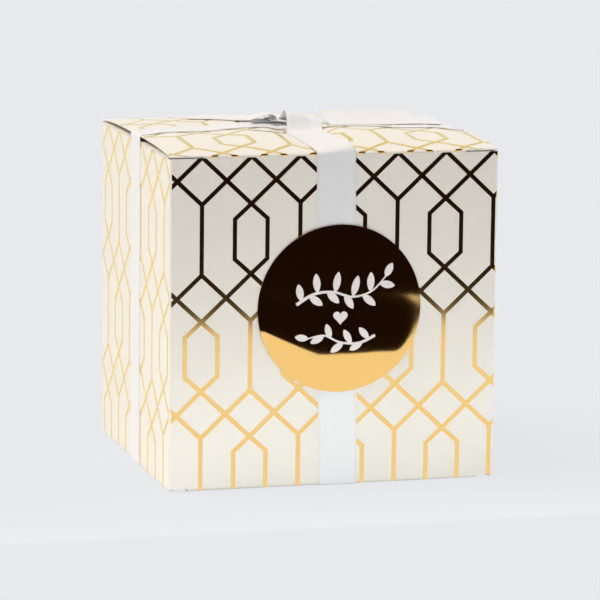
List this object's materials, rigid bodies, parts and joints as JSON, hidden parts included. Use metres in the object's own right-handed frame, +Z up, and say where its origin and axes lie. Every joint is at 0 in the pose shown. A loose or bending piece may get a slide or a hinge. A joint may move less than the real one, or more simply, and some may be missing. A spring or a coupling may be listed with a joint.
{
  "type": "favor box",
  "caption": "Tuck-end card favor box with a gold lattice print, a cross-tied satin ribbon with knot and tails, and a round foil seal; lid, tuck flap and dust flaps open.",
  "frame": {"origin": "middle of the face that the tied box stands on, the underside of its ribbon", "axes": "+Z up, -Y towards the front with the seal, +X to the right seen from the front"},
  "size_m": [0.1024, 0.0927, 0.1078],
  "materials": {
    "printed_card": "satin",
    "plain_card": "matte",
    "satin_ribbon": "satin",
    "gold_foil": "gloss"
  },
  "bodies": {
    "carton": {"front_wall": "printed_card", "back_wall": "printed_card", "left_wall": "printed_card", "right_wall": "printed_card", "glue_flap": "plain_card", "base_flap_back": "plain_card", "base_flap_left": "plain_card", "base_flap_right": "plain_card", "base_flap_front": "plain_card", "ribbon_front": "satin_ribbon", "ribbon_back": "satin_ribbon", "ribbon_left": "satin_ribbon", "ribbon_right": "satin_ribbon", "ribbon_under_across": "satin_ribbon", "ribbon_under_front_to_back": "satin_ribbon", "foil_seal": "gold_foil"},
    "lid": {"lid_panel": "printed_card", "ribbon_lid_front": "satin_ribbon", "ribbon_lid_back": "satin_ribbon", "ribbon_lid_left": "satin_ribbon", "ribbon_lid_right": "satin_ribbon", "ribbon_knot": "satin_ribbon", "ribbon_knot_loop": "satin_ribbon", "ribbon_tail_left": "satin_ribbon", "ribbon_tail_right": "satin_ribbon"},
    "tuck_flap": {"tuck_flap": "plain_card"},
    "dust_flap_left": {"dust_flap_left": "plain_card"},
    "dust_flap_right": {"dust_flap_right": "plain_card"}
  },
  "joints": [
    {"name": "lid_hinge", "type": "hinge", "parent": "carton", "child": "lid", "pos_m": [0, 0.046, 0.1013], "axis": [-1, 0, 0], "range_deg": [0, 180]},
    {"name": "tuck_crease", "type": "hinge", "parent": "lid", "child": "tuck_flap", "pos_m": [0, -0.04495, 0.10055], "axis": [1, 0, 0], "range_deg": [0, 55]},
    {"name": "dust_crease_left", "type": "hinge", "parent": "carton", "child": "dust_flap_left", "pos_m": [-0.0508, 0, 0.10075], "axis": [0, -1, 0], "range_deg": [0, 108]},
    {"name": "dust_crease_right", "type": "hinge", "parent": "carton", "child": "dust_flap_right", "pos_m": [0.0508, 0, 0.10075], "axis": [0, 1, 0], "range_deg": [0, 108]}
  ],
  "couplings": [
    {"joint": "dust_crease_left", "follows": "lid_hinge", "ratio": 0.6},
    {"joint": "dust_crease_right", "follows": "lid_hinge", "ratio": 0.6}
  ]
}
